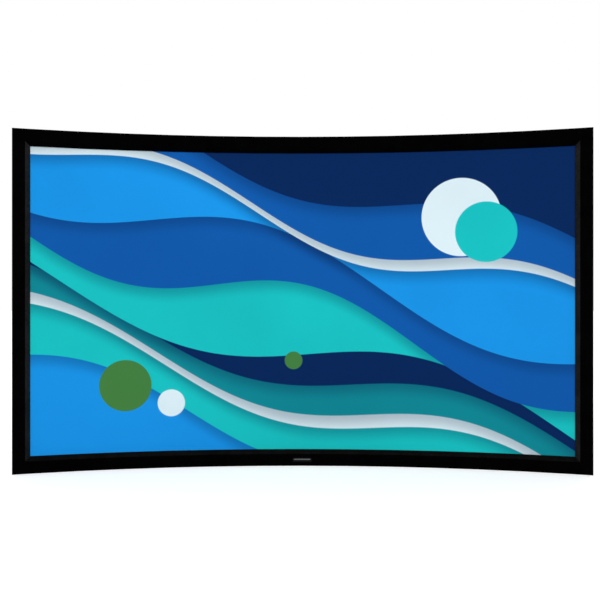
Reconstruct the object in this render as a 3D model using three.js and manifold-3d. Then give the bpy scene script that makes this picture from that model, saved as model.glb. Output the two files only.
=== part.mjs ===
// Curved fixed frame projector screen, 120 inch diagonal, 16:9, for hanging on a wall.
// A six piece aluminium frame, wrapped in black velvet, is joined by brackets that slide in its
// rear slots. A PVC sheet is stretched behind the bevel by rods in its hems and clips on a rib.
// Millimetres, +Z up, the viewer on the -Y side, origin at the middle of the foot of the object.
//
// Every piece is drawn flat, as it is made, and then rolled to the radius. In the flat drawing
// x runs along the curve, y is the depth behind the frame's front face and z is the height above
// the middle of the screen. A section is drawn with x as the distance out from the edge of the
// opening, called inset here, and y as that same depth.

import * as THREE from "three";
import { mergeVertices } from "three/addons/utils/BufferGeometryUtils.js";
import Module from "manifold-3d";

const wasm = await Module();
wasm.setup();

// Viewing surface
const VIEW_WIDTH = 2657;
const VIEW_HEIGHT = 1494;
const CURVE_RADIUS = 4800;
const FACETS = 6;

// Frame section
const FRAME_WIDTH = 82;
const FRAME_DEPTH = 38;
const BEVEL_WIDTH = 22;
const BEVEL_DEPTH = 13;
const WALL = 2;
const HOLLOW_WALL = 2.6;
const EDGE_RADIUS = 2;
const CHANNEL_DEPTH = 12;
const SLOT_WIDTH = 14;
const CLIP_SPACE = 8;
const BEAD_WIDTH = 7;
const BEAD_RISE = 0.2;
const MITRE_GAP = 0.2;
const JOINT_GAP = 0.4;

// Corners flatter than this are dropped where pieces are cut or joined, and a cutting tool
// reaches this far past what it cuts
const FLATNESS = 0.01;
const CUT_OVERRUN = 1;

// Velvet wrap
const VELVET = 0.8;
const VELVET_TURN_IN = 8;

// Clearance between pieces that are fitted together
const FIT_GAP = 0.3;

// Screen sheet, with a hem along each edge that holds a rod
const SHEET = 0.6;
const SHEET_MARGIN = 6;
const HEM_WELD_START = 1;
const HEM_WELD = 6;
const HEM_SLACK = 0.6;
const HEM_SET_BACK = 15;

// Tension rods and clips
const ROD_DIAMETER = 6;
const ROD_SIDES = 10;
const ROD_INSET = 24;
const CLIP_WALL = 2.4;
const CLIP_WIDTH = 14;
const CLIP_REACH = 11;
const CLIP_FINGER = 6;
const CLIP_PITCH = 220;
const CLIP_NOTCH_MARGIN = 2;
const CLIP_JAW_DEGREES = 215;

// Corner brackets and splice bars, which slide in the rear channel
const PLATE = 4;
const PLATE_SIDE_GAP = 1.3;
const CORNER_LEG = 110;
const SPLICE_LENGTH = 220;

// Vertical support bars, placed in facets from the middle. The rail is flat in mid facet.
const BAR_FACETS = [-3.5, 0, 3.5];
const BAR_WIDTH = 30;
const BAR_DEPTH = 14;
const BAR_WALL = 1.5;
const BAR_OVERRUN = 10;

// Hexagon head screws and the nuts that they turn into
const SCREW_DIAMETER = 5;
const HEAD_FLATS = 8;
const HEAD_HEIGHT = 3.5;
const SCREW_RUN_OUT = 1;
const NUT_LENGTH = 26;

// Wall brackets, hangers and stand-offs, placed in facets from the middle as the bars are
const HANGER_FACETS = 2.5;
const HANGER_WIDTH = 60;
const HANGER_PLATE = 2.5;
const HANGER_SCREW_PITCH = 34;
const FOOT_MARGIN = 2;
const HOOK_HEIGHT = 16;
const HOOK_GAP = 1;
const WALL_PLATE_HEIGHT = 45;
const WALL_SLOT_WIDTH = 6;
const WALL_SLOT_LENGTH = 14;
const WALL_SLOT_PITCH = 34;
const WALL_GAP = 2;
const STANDOFF_FACE = 40;
const PAD_SIZE = 32;
const PAD_THICKNESS = 4;
const PAD_CORNER = 4;

// Blank badge plate on the front of the lower rail
const BADGE_WIDTH = 96;
const BADGE_HEIGHT = 20;
const BADGE_THICKNESS = 1.2;
const BADGE_CORNER = 4;
const BADGE_RISE = 31;

// Places that follow from the sizes above
const halfWidth = VIEW_WIDTH / 2;
const halfHeight = VIEW_HEIGHT / 2;
const velvetStack = VELVET + FIT_GAP;
const outerFace = FRAME_WIDTH - BEAD_RISE - velvetStack;
const frontBack = velvetStack + WALL;
const bevelAngle = Math.atan2(BEVEL_DEPTH, BEVEL_WIDTH);
const noseRadius = WALL / 2 + velvetStack;
const noseInset = noseRadius;
const noseDepth =
  (noseRadius + (BEVEL_WIDTH - noseInset) * Math.sin(bevelAngle)) / Math.cos(bevelAngle);
const sheetFront = noseDepth + noseRadius + FIT_GAP;
const sheetBack = sheetFront + SHEET;
const rodRadius = ROD_DIAMETER / 2;
const rodDepth = sheetBack + HEM_SLACK + rodRadius;
const ribTop = rodDepth + rodRadius;
const ribInner = ROD_INSET + rodRadius + CLIP_REACH;
const ribOuter = ribInner + WALL;
const channelInner = ribOuter + CLIP_SPACE + WALL;
const channelOuter = outerFace - WALL;
const slotInset = (channelInner + channelOuter) / 2;
const flangeFront = FRAME_DEPTH - WALL;
const channelFloor = flangeFront - CHANNEL_DEPTH;
const plateWidth = channelOuter - channelInner - 2 * PLATE_SIDE_GAP;
const plateBack = flangeFront - FIT_GAP;
const plateFront = plateBack - PLATE;
const barFront = FRAME_DEPTH + FIT_GAP;
const barBack = barFront + BAR_DEPTH;
const footFront = FRAME_DEPTH + FIT_GAP;
const footBack = footFront + HANGER_PLATE;
const screwHole = SCREW_DIAMETER + 2 * FIT_GAP;

// The rolled surface is faceted. Its facets meet at these stations, which every piece shares.
const facetWidth = (halfWidth - HEM_SET_BACK) / FACETS;
const inboard = Array.from({ length: FACETS + 1 }, (_, i) => i * facetWidth);
const outboard = [halfWidth + SHEET_MARGIN, halfWidth + FRAME_WIDTH];
const stations = [
  ...[...inboard, ...outboard].reverse().map((s) => -s),
  ...inboard.slice(1),
  ...outboard,
];

function onArc(s, depth) {
  const radius = CURVE_RADIUS + depth - sheetFront;
  const angle = s / CURVE_RADIUS;
  return [radius * Math.sin(angle), radius * Math.cos(angle) - CURVE_RADIUS];
}

// Where a point of the flat drawing lies once the piece is rolled.
function rolled(s, depth) {
  const last = stations.length - 2;
  const next = stations.findIndex((station) => station > s);
  const i = Math.min(last, next < 0 ? last : Math.max(0, next - 1));
  const share = (s - stations[i]) / (stations[i + 1] - stations[i]);
  const [x0, y0] = onArc(stations[i], depth);
  const [x1, y1] = onArc(stations[i + 1], depth);
  return [x0 + share * (x1 - x0), y0 + share * (y1 - y0)];
}

const barOffsets = BAR_FACETS.map((count) => count * facetWidth);
const hangerOffset = HANGER_FACETS * facetWidth;

// The wall that the brackets and pads stand on, behind the middle bar's screw heads.
const wallY = rolled(0, barBack + HEAD_HEIGHT + WALL_GAP)[1];

function trianglesOf(geometry) {
  const flat = geometry.index ? geometry.toNonIndexed() : geometry;
  const position = flat.getAttribute("position");
  const corner = (i) => new THREE.Vector3().fromBufferAttribute(position, i);
  const triangles = [];
  for (let i = 0; i < position.count; i += 3) {
    triangles.push([corner(i), corner(i + 1), corner(i + 2)]);
  }
  return triangles;
}

function geometryOf(triangles) {
  const positions = triangles.flat().flatMap((p) => [p.x, p.y, p.z]);
  const geometry = new THREE.BufferGeometry();
  geometry.setAttribute("position", new THREE.Float32BufferAttribute(positions, 3));
  return geometry;
}

function volumeOf(triangles) {
  const cross = new THREE.Vector3();
  return triangles.reduce((sum, [a, b, c]) => sum + a.dot(cross.crossVectors(b, c)) / 6, 0);
}

// Moves every vertex by place(x, y, z). A move that mirrors the piece turns its faces round.
function moved(geometry, place) {
  const triangles = trianglesOf(geometry);
  const out = triangles.map((t) => t.map((p) => new THREE.Vector3(...place(p.x, p.y, p.z))));
  return geometryOf(volumeOf(out) < 0 ? out.map(([a, b, c]) => [a, c, b]) : out);
}

function crossing(a, b, plane) {
  const [low, high] = a.x < b.x ? [a, b] : [b, a];
  return low.clone().lerp(high, (plane - low.x) / (high.x - low.x)).setX(plane);
}

// Splits the triangles that cross the plane x = plane.
function slicedAt(triangles, plane) {
  const onPlane = 1e-3;
  return triangles.flatMap((corners) => {
    const sides = corners.map((p) => (Math.abs(p.x - plane) < onPlane ? 0 : Math.sign(p.x - plane)));
    if (!sides.includes(1) || !sides.includes(-1)) return [corners];
    const left = [];
    const right = [];
    corners.forEach((a, i) => {
      const b = corners[(i + 1) % 3];
      if (sides[i] <= 0) left.push(a);
      if (sides[i] >= 0) right.push(a);
      if (sides[i] * sides[(i + 1) % 3] < 0) {
        const cut = crossing(a, b, plane);
        left.push(cut);
        right.push(cut);
      }
    });
    return [left, right].flatMap((p) => p.slice(2).map((c, i) => [p[0], p[i + 1], c]));
  });
}

// Rolls a flat piece to the radius, with an edge wherever it passes a station.
function roll(geometry) {
  const triangles = stations.reduce(slicedAt, trianglesOf(geometry));
  return moved(geometryOf(triangles), (x, y, z) => [...rolled(x, y), z]);
}

function solidOf(geometry) {
  const bare = new THREE.BufferGeometry();
  bare.setAttribute("position", geometry.getAttribute("position"));
  if (geometry.index) bare.setIndex(geometry.index);
  const merged = mergeVertices(bare, 1e-4);
  const vertProperties = merged.getAttribute("position").array;
  const triVerts = new Uint32Array(merged.index.array);
  return new wasm.Manifold(new wasm.Mesh({ numProp: 3, vertProperties, triVerts }));
}

function geometryFrom(solid) {
  const mesh = solid.getMesh();
  const geometry = new THREE.BufferGeometry();
  geometry.setAttribute("position", new THREE.BufferAttribute(mesh.vertProperties, 3));
  geometry.setIndex(new THREE.BufferAttribute(mesh.triVerts, 1));
  return geometry;
}

function joined(pieces, holes = []) {
  const whole = pieces.map(solidOf).reduce((a, b) => a.add(b));
  const drilled = holes.map(solidOf).reduce((a, b) => a.subtract(b), whole);
  return geometryFrom(drilled.simplify(FLATNESS));
}

function cut(piece, holes) {
  return joined([piece], holes);
}

// An arc of the shape is drawn as so many straight steps.
function extruded(shape, depth, steps = 1, arcSteps = 4) {
  const curveSegments = arcSteps / 2;
  return new THREE.ExtrudeGeometry(shape, { depth, steps, curveSegments, bevelEnabled: false });
}

// A box between two corners of the flat drawing.
function box([x0, y0, z0], [x1, y1, z1]) {
  const geometry = new THREE.BoxGeometry(x1 - x0, y1 - y0, z1 - z0);
  return geometry.translate((x0 + x1) / 2, (y0 + y1) / 2, (z0 + z1) / 2);
}

// A drill that runs through from the front to the back depth in the flat drawing.
function drill(diameter, s, z, front, back, sides = 8) {
  const length = back - front + 2 * CUT_OVERRUN;
  const geometry = new THREE.CylinderGeometry(diameter / 2, diameter / 2, length, sides);
  return geometry.translate(s, (front + back) / 2, z);
}

function outline(points) {
  return new THREE.Shape(points.map(([x, y]) => new THREE.Vector2(x, y)));
}

const finishes = {
  aluminium: { color: 0x1b1c1e, roughness: 0.55, metalness: 0.6 },
  velvet: { color: 0x050505, roughness: 1, metalness: 0 },
  sheet: { color: 0xf2f2f0, roughness: 0.9, metalness: 0 },
  fibreglass: { color: 0xd9d6c8, roughness: 0.5, metalness: 0 },
  steel: { color: 0xa9abad, roughness: 0.35, metalness: 1 },
  bar: { color: 0xb9bbbd, roughness: 0.4, metalness: 0.9 },
  rubber: { color: 0x1a1a1a, roughness: 0.9, metalness: 0 },
  badge: { color: 0x0c0c0d, roughness: 0.35, metalness: 0.4 },
};

const object = new THREE.Group();
object.name = "curved_fixed_frame_screen";

function add(name, finish, geometry) {
  const own = geometry.index ? geometry.toNonIndexed() : geometry;
  own.computeVertexNormals();
  const mesh = new THREE.Mesh(own, new THREE.MeshStandardMaterial(finishes[finish]));
  mesh.name = name;
  object.add(mesh);
}

const sides = { left: -1, right: 1 };
const ends = { bottom: -1, top: 1 };

// Frame section

// The point where the front face turns into the bevel, at a distance below the velvet's surface.
function bevelTop(below) {
  return [BEVEL_WIDTH + below * Math.tan(bevelAngle / 2), below];
}

const noseStart = -Math.PI / 2 - bevelAngle;
const noseEnd = Math.PI / 2 - bevelAngle;

function frameSection() {
  const shape = new THREE.Shape();
  const corner = [outerFace - EDGE_RADIUS, velvetStack + EDGE_RADIUS];
  shape.moveTo(FRAME_WIDTH, FRAME_DEPTH);
  shape.lineTo(FRAME_WIDTH, FRAME_DEPTH - BEAD_WIDTH);
  shape.lineTo(outerFace, FRAME_DEPTH - BEAD_WIDTH);
  shape.absarc(...corner, EDGE_RADIUS, 0, -Math.PI / 2, true);
  shape.lineTo(...bevelTop(velvetStack));
  shape.absarc(noseInset, noseDepth, noseRadius - velvetStack, noseStart, noseEnd, true);
  shape.lineTo(...bevelTop(frontBack));
  shape.lineTo(ribInner, frontBack);
  shape.lineTo(ribInner, ribTop);
  shape.lineTo(ribOuter, ribTop);
  shape.lineTo(ribOuter, frontBack);
  shape.lineTo(channelInner - WALL, frontBack);
  shape.lineTo(channelInner - WALL, FRAME_DEPTH);
  shape.lineTo(slotInset - SLOT_WIDTH / 2, FRAME_DEPTH);
  shape.lineTo(slotInset - SLOT_WIDTH / 2, flangeFront);
  shape.lineTo(channelInner, flangeFront);
  shape.lineTo(channelInner, channelFloor);
  shape.lineTo(channelOuter, channelFloor);
  shape.lineTo(channelOuter, flangeFront);
  shape.lineTo(slotInset + SLOT_WIDTH / 2, flangeFront);
  shape.lineTo(slotInset + SLOT_WIDTH / 2, FRAME_DEPTH);
  const hollow = outline([
    [channelInner, velvetStack + HOLLOW_WALL],
    [channelOuter, velvetStack + HOLLOW_WALL],
    [channelOuter, channelFloor - WALL],
    [channelInner, channelFloor - WALL],
  ]);
  shape.holes.push(hollow);
  return shape;
}

// The velvet follows the side, the front, the bevel and the nose, and is tucked behind the lip.
function velvetSection() {
  const shape = new THREE.Shape();
  const side = outerFace + velvetStack;
  const rear = FRAME_DEPTH - BEAD_WIDTH - FIT_GAP;
  const corner = [outerFace - EDGE_RADIUS, velvetStack + EDGE_RADIUS];
  const tuck = (radius) => [
    noseInset + radius * Math.sin(bevelAngle) + VELVET_TURN_IN * Math.cos(bevelAngle),
    noseDepth + radius * Math.cos(bevelAngle) - VELVET_TURN_IN * Math.sin(bevelAngle),
  ];
  shape.moveTo(side, rear);
  shape.lineTo(side, corner[1]);
  shape.absarc(...corner, EDGE_RADIUS + velvetStack, 0, -Math.PI / 2, true);
  shape.lineTo(...bevelTop(0));
  shape.absarc(noseInset, noseDepth, noseRadius, noseStart, noseEnd, true);
  shape.lineTo(...tuck(noseRadius));
  shape.lineTo(...tuck(noseRadius - VELVET));
  shape.absarc(noseInset, noseDepth, noseRadius - VELVET, noseEnd, noseStart, false);
  shape.lineTo(...bevelTop(VELVET));
  shape.absarc(...corner, EDGE_RADIUS + velvetStack - VELVET, -Math.PI / 2, 0, false);
  shape.lineTo(side - VELVET, rear);
  return shape;
}

// Half of the upper or lower rail, from the joint in the middle to the mitre at the corner.
function railHalf(section, side, end) {
  const layers = inboard.length;
  const along = (layer, inset) => {
    if (layer === 0) return JOINT_GAP / 2;
    return layer < layers ? inboard[layer] : halfWidth + inset - MITRE_GAP;
  };
  return roll(
    moved(extruded(section, layers, layers, 3), (inset, depth, layer) => [
      side * along(Math.round(layer), inset),
      depth,
      end * (halfHeight + inset),
    ]),
  );
}

// A side of the frame, mitred at both ends.
function stile(section, side) {
  return roll(
    moved(extruded(section, 1, 1, 3), (inset, depth, layer) => [
      side * (halfWidth + inset),
      depth,
      (2 * layer - 1) * (halfHeight + inset - MITRE_GAP),
    ]),
  );
}

for (const [endName, end] of Object.entries(ends)) {
  for (const [sideName, side] of Object.entries(sides)) {
    add(`rail_${endName}_${sideName}`, "aluminium", railHalf(frameSection(), side, end));
    add(`velvet_${endName}_${sideName}`, "velvet", railHalf(velvetSection(), side, end));
  }
}
for (const [sideName, side] of Object.entries(sides)) {
  add(`stile_${sideName}`, "aluminium", stile(frameSection(), side));
  add(`velvet_side_${sideName}`, "velvet", stile(velvetSection(), side));
}

// Screen sheet

// The hem's section beyond an inset where the plain sheet starts: the sheet folded round the rod
// and welded back to itself.
function hemSection(start) {
  const centre = new THREE.Vector2(ROD_INSET, rodDepth);
  const inner = rodRadius + HEM_SLACK;
  const outer = inner + SHEET;
  const touch = (from, radius) => {
    const toPoint = from.clone().sub(centre);
    return toPoint.angle() - Math.acos(radius / toPoint.length());
  };
  const weldStart = SHEET_MARGIN + HEM_WELD_START;
  const weldEnd = weldStart + HEM_WELD;
  const hemBack = sheetBack + SHEET;
  const shape = new THREE.Shape();
  shape.moveTo(start, sheetFront);
  shape.lineTo(start, sheetBack);
  shape.lineTo(weldStart, sheetBack);
  shape.lineTo(weldStart, hemBack);
  shape.lineTo(weldEnd, hemBack);
  const outerTouch = touch(new THREE.Vector2(weldEnd, hemBack), outer);
  shape.absarc(centre.x, centre.y, outer, outerTouch, -Math.PI / 2, true);
  const pocket = new THREE.Path();
  const pocketStart = new THREE.Vector2(weldEnd + 2 * SHEET, sheetBack + SHEET / 4);
  const innerTouch = touch(pocketStart, inner);
  pocket.moveTo(pocketStart.x, pocketStart.y);
  pocket.lineTo(centre.x, sheetBack);
  pocket.absarc(centre.x, centre.y, inner, -Math.PI / 2, innerTouch, false);
  shape.holes.push(pocket);
  return shape;
}

// Centres of the clips along a half rail, or along a side from its middle.
function clipPlaces(length) {
  const count = Math.max(1, Math.round(length / CLIP_PITCH));
  return Array.from({ length: count }, (_, i) => ((i + 0.5) * length) / count);
}

const hemHalfWidth = halfWidth - HEM_SET_BACK;
const hemHalfHeight = halfHeight - HEM_SET_BACK;
const railClips = clipPlaces(hemHalfWidth);
const sideClips = clipPlaces(hemHalfHeight);

function screenSheet() {
  const layers = 2 * FACETS;
  const along = (layer) => (Math.round(layer) - FACETS) * facetWidth;
  const plain = outline([
    [-halfHeight, sheetFront],
    [halfHeight, sheetFront],
    [halfHeight, sheetBack],
    [-halfHeight, sheetBack],
  ]);
  const panel = extruded(plain, layers, layers);
  const pieces = [moved(panel, (z, depth, layer) => [along(layer), depth, z])];
  for (const end of Object.values(ends)) {
    const hem = extruded(hemSection(0), layers, layers);
    const place = (inset, depth, layer) => [along(layer), depth, end * (halfHeight + inset)];
    pieces.push(moved(hem, place));
  }
  for (const side of Object.values(sides)) {
    const reach = halfHeight + SHEET_MARGIN;
    const edge = [side * hemHalfWidth, side * (halfWidth + SHEET_MARGIN)].sort((a, b) => a - b);
    const margin = box([edge[0], sheetFront, -reach], [edge[1], sheetBack, reach]);
    const hem = extruded(hemSection(SHEET_MARGIN), 2 * hemHalfHeight);
    const place = (inset, depth, z) => [side * (halfWidth + inset), depth, z - hemHalfHeight];
    pieces.push(margin, moved(hem, place));
  }
  return joined(pieces.map(roll), hemNotches().map(roll));
}

// Openings in the hems where the clips take hold of the rods.
function hemNotches() {
  const near = ROD_INSET - rodRadius - CLIP_WALL - CLIP_NOTCH_MARGIN;
  const far = ROD_INSET + rodRadius + SHEET + CLIP_NOTCH_MARGIN;
  const half = CLIP_WIDTH / 2 + CLIP_NOTCH_MARGIN;
  const front = sheetFront - CUT_OVERRUN;
  const back = ribTop + CLIP_WALL;
  const notches = [];
  for (const sign of [-1, 1]) {
    for (const side of [-1, 1]) {
      for (const s of railClips) {
        const z = [sign * (halfHeight + near), sign * (halfHeight + far)].sort((a, b) => a - b);
        notches.push(box([side * s - half, front, z[0]], [side * s + half, back, z[1]]));
      }
      for (const z of sideClips) {
        const s = [side * (halfWidth + near), side * (halfWidth + far)].sort((a, b) => a - b);
        notches.push(box([s[0], front, sign * z - half], [s[1], back, sign * z + half]));
      }
    }
  }
  return notches;
}

add("screen_sheet", "sheet", screenSheet());

// Tension rods, each with the moulded clips that are snapped onto it

// A clip grips the rod from the side of the opening and hooks over the frame's rib.
function clipSection() {
  const armFront = ribTop + FIT_GAP;
  const armBack = armFront + CLIP_WALL;
  const fingerInner = ribOuter + FIT_GAP;
  const fingerOuter = fingerInner + CLIP_WALL;
  const jaw = rodRadius + CLIP_WALL;
  const chamfer = CLIP_WALL / 2;
  const shape = new THREE.Shape();
  shape.absarc(ROD_INSET, rodDepth, jaw, THREE.MathUtils.degToRad(CLIP_JAW_DEGREES), Math.PI / 2, true);
  shape.lineTo(ROD_INSET + jaw, armBack);
  shape.lineTo(fingerOuter - chamfer, armBack);
  shape.lineTo(fingerOuter, armBack - chamfer);
  shape.lineTo(fingerOuter, armFront - CLIP_FINGER);
  shape.lineTo(fingerInner, armFront - CLIP_FINGER);
  shape.lineTo(fingerInner, armFront);
  shape.lineTo(ROD_INSET + jaw, armFront);
  shape.lineTo(ROD_INSET + rodRadius / 2, rodDepth + rodRadius / 2);
  return shape;
}

const rodSection = new THREE.Shape();
rodSection.absarc(ROD_INSET, rodDepth, rodRadius, 0, 2 * Math.PI, false);

function railRod(side, end) {
  const place = (along) => (inset, depth, layer) => [
    side * along(Math.round(layer)),
    depth,
    end * (halfHeight + inset),
  ];
  const stops = [JOINT_GAP, ...inboard.slice(1, -1), hemHalfWidth - JOINT_GAP];
  const layers = stops.length - 1;
  const rod = moved(extruded(rodSection, layers, layers, ROD_SIDES), place((layer) => stops[layer]));
  const clips = railClips.map((s) => {
    const edge = (layer) => s + (layer - 0.5) * CLIP_WIDTH;
    return roll(moved(extruded(clipSection(), 1, 1, 3), place(edge)));
  });
  return joined([roll(rod), ...clips]);
}

function sideRod(side) {
  const length = 2 * (hemHalfHeight - JOINT_GAP);
  const upright = (section, height, middle, arcSteps) =>
    roll(
      moved(extruded(section, height, 1, arcSteps), (inset, depth, z) => [
        side * (halfWidth + inset),
        depth,
        z + middle - height / 2,
      ]),
    );
  const places = [...sideClips.map((z) => -z), ...sideClips];
  const clips = places.map((z) => upright(clipSection(), CLIP_WIDTH, z, 3));
  return joined([upright(rodSection, length, 0, ROD_SIDES), ...clips]);
}

for (const [sideName, side] of Object.entries(sides)) {
  for (const [endName, end] of Object.entries(ends)) {
    add(`rod_${endName}_${sideName}`, "fibreglass", railRod(side, end));
  }
  add(`rod_side_${sideName}`, "fibreglass", sideRod(side));
}

// Corner brackets and splice bars

function cornerBracket(side, end) {
  const low = slotInset - plateWidth / 2;
  const high = slotInset + plateWidth / 2;
  const tip = high - CORNER_LEG;
  const plate = outline([
    [tip, low],
    [low, low],
    [low, tip],
    [high, tip],
    [high, high],
    [tip, high],
  ]);
  const place = (x, z, depth) => [side * (halfWidth + x), plateFront + depth, end * (halfHeight + z)];
  return roll(moved(extruded(plate, PLATE), place));
}

function spliceBar(end) {
  const z = end * (halfHeight + slotInset);
  const half = SPLICE_LENGTH / 2;
  const bar = box(
    [-half, plateFront, z - plateWidth / 2],
    [half, plateBack, z + plateWidth / 2],
  );
  return roll(cut(bar, [drill(screwHole, 0, z, plateFront, plateBack)]));
}

for (const [endName, end] of Object.entries(ends)) {
  for (const [sideName, side] of Object.entries(sides)) {
    add(`corner_bracket_${endName}_${sideName}`, "steel", cornerBracket(side, end));
  }
  add(`splice_bar_${endName}`, "steel", spliceBar(end));
}

// Hexagon head screws and slot nuts

// A screw that clamps a piece whose rear face is at the depth given, placed in the flat drawing.
function hexScrew(s, z, seat, turnedAt = s) {
  const tip = plateFront - SCREW_RUN_OUT;
  const head = seat + FIT_GAP;
  const top = head + HEAD_HEIGHT;
  const radius = SCREW_DIAMETER / 2;
  const corner = HEAD_FLATS / 2 / Math.cos(Math.PI / 6);
  const profile = outline([
    [0, tip],
    [radius, tip],
    [radius, head],
    [corner, head],
    [corner, top],
    [0, top],
  ]).getPoints();
  return turned(new THREE.LatheGeometry(profile, 6).translate(s, 0, z), turnedAt);
}

// A plate that slides in the channel, with a tapped hole for each screw.
function slotNut(s, z, length, holes) {
  const plate = box(
    [s - length / 2, plateFront, z - plateWidth / 2],
    [s + length / 2, plateBack, z + plateWidth / 2],
  );
  const drills = holes.map((x) => drill(screwHole, s + x, z, plateFront, plateBack));
  return turned(cut(plate, drills), s);
}

// Vertical support bars between the lower and the upper rail

function supportBar(s) {
  const halfLength = halfHeight + slotInset + BAR_OVERRUN;
  const tube = outline([
    [s - BAR_WIDTH / 2, barFront],
    [s + BAR_WIDTH / 2, barFront],
    [s + BAR_WIDTH / 2, barBack],
    [s - BAR_WIDTH / 2, barBack],
  ]);
  tube.holes.push(
    outline([
      [s - BAR_WIDTH / 2 + BAR_WALL, barFront + BAR_WALL],
      [s + BAR_WIDTH / 2 - BAR_WALL, barFront + BAR_WALL],
      [s + BAR_WIDTH / 2 - BAR_WALL, barBack - BAR_WALL],
      [s - BAR_WIDTH / 2 + BAR_WALL, barBack - BAR_WALL],
    ]),
  );
  const bar = extruded(tube, 2 * halfLength).translate(0, 0, -halfLength);
  const drills = Object.values(ends).map((end) =>
    drill(screwHole, s, end * (halfHeight + slotInset), barFront, barBack),
  );
  // A straight bar touches the curve at its own middle, so it is turned there and not rolled.
  return turned(cut(bar, drills), s);
}

// Turns a straight piece to face the middle of the curve at the place s along it.
function turned(geometry, s) {
  const [x0, y0] = rolled(s - 1, 0);
  const [x1, y1] = rolled(s + 1, 0);
  const along = new THREE.Vector2(x1 - x0, y1 - y0).normalize();
  const [ox, oy] = rolled(s, 0);
  return moved(geometry, (x, y, z) => [
    ox + (x - s) * along.x - y * along.y,
    oy + (x - s) * along.y + y * along.x,
    z,
  ]);
}

const barNames = barOffsets.map((s) => (s === 0 ? "middle" : s < 0 ? "left" : "right"));
barOffsets.forEach((s, i) => {
  add(`support_bar_${barNames[i]}`, "bar", supportBar(s));
  for (const [endName, end] of Object.entries(ends)) {
    const z = end * (halfHeight + slotInset);
    add(`bar_screw_${endName}_${barNames[i]}`, "steel", hexScrew(s, z, barBack));
    if (s !== 0) add(`bar_nut_${endName}_${barNames[i]}`, "steel", slotNut(s, z, NUT_LENGTH, [0]));
  }
});

// Hangers on the upper rail, stand-offs on the lower one, and the brackets on the wall

// A folded plate whose foot lies on the rail and whose other end is parallel to the wall. Its
// section is drawn with x as the height and y as the depth, with the wall at this depth.
const drawnWall = 2 * FRAME_DEPTH;

function foldedPlate(section, side) {
  const middle = side * hangerOffset;
  const [middleX] = rolled(middle, footBack);
  return moved(extruded(section, HANGER_WIDTH), (z, depth, across) => {
    const s = across - HANGER_WIDTH / 2;
    const onFoot = depth < footBack + FIT_GAP;
    return onFoot ? [...rolled(middle + s, depth), z] : [middleX + s, wallY + depth - drawnWall, z];
  });
}

const footHoles = [-HANGER_SCREW_PITCH / 2, HANGER_SCREW_PITCH / 2];

function footDrills(side, z) {
  const middle = side * hangerOffset;
  return footHoles.map((x) => {
    return turned(drill(screwHole, middle + x, z, footFront, footBack), middle);
  });
}

const legTop = halfHeight + channelOuter - FOOT_MARGIN;
const legBottom = legTop - HANGER_PLATE;
const shelfTop = legBottom - FIT_GAP - HOOK_HEIGHT;
const lipFront = HANGER_PLATE + 2 * HOOK_GAP + HANGER_PLATE;
const upstandBack = lipFront + HOOK_GAP;

function hanger(side) {
  const foot = halfHeight + channelInner + FOOT_MARGIN;
  const lip = drawnWall - lipFront;
  const section = outline([
    [foot, footFront],
    [legTop, footFront],
    [legTop, lip + HANGER_PLATE],
    [shelfTop + HOOK_GAP, lip + HANGER_PLATE],
    [shelfTop + HOOK_GAP, lip],
    [legBottom, lip],
    [legBottom, footBack],
    [foot, footBack],
  ]);
  return cut(foldedPlate(section, side), footDrills(side, halfHeight + slotInset));
}

function wallBracket(side) {
  const front = upstandBack + HANGER_PLATE;
  const foot = shelfTop - WALL_PLATE_HEIGHT;
  const section = outline([
    [foot, 0],
    [shelfTop, 0],
    [shelfTop, upstandBack],
    [shelfTop + HOOK_HEIGHT, upstandBack],
    [shelfTop + HOOK_HEIGHT, front],
    [shelfTop - HANGER_PLATE, front],
    [shelfTop - HANGER_PLATE, HANGER_PLATE],
    [foot, HANGER_PLATE],
  ]);
  const [middleX] = rolled(side * hangerOffset, footBack);
  const place = (z, forward, across) => [
    middleX + across - HANGER_WIDTH / 2,
    wallY - forward,
    z,
  ];
  const slots = [-1, 1].map((sign) => {
    const slot = new THREE.Shape();
    const half = (WALL_SLOT_LENGTH - WALL_SLOT_WIDTH) / 2;
    slot.absarc(half, 0, WALL_SLOT_WIDTH / 2, -Math.PI / 2, Math.PI / 2, false);
    slot.absarc(-half, 0, WALL_SLOT_WIDTH / 2, Math.PI / 2, (3 * Math.PI) / 2, false);
    const middle = (foot + shelfTop - HANGER_PLATE) / 2;
    return moved(extruded(slot, 2 * HANGER_PLATE, 1, 6), (x, z, forward) => [
      middleX + (sign * WALL_SLOT_PITCH) / 2 + x,
      wallY - forward + HANGER_PLATE / 2,
      middle + z,
    ]);
  });
  return cut(moved(extruded(section, HANGER_WIDTH), place), slots);
}

// The lower brackets hold the foot of the frame off the wall, on rubber pads.
const standoffFoot = -halfHeight - channelOuter + FOOT_MARGIN;
const standoffLeg = -halfHeight - channelInner - FOOT_MARGIN;
const standoffFace = PAD_THICKNESS + FIT_GAP;

function standoff(side) {
  const face = drawnWall - standoffFace;
  const faceEnd = standoffLeg - HANGER_PLATE + STANDOFF_FACE;
  const section = outline([
    [standoffFoot, footFront],
    [standoffLeg, footFront],
    [standoffLeg, face - HANGER_PLATE],
    [faceEnd, face - HANGER_PLATE],
    [faceEnd, face],
    [standoffLeg - HANGER_PLATE, face],
    [standoffLeg - HANGER_PLATE, footBack],
    [standoffFoot, footBack],
  ]);
  return cut(foldedPlate(section, side), footDrills(side, -halfHeight - slotInset));
}

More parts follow.
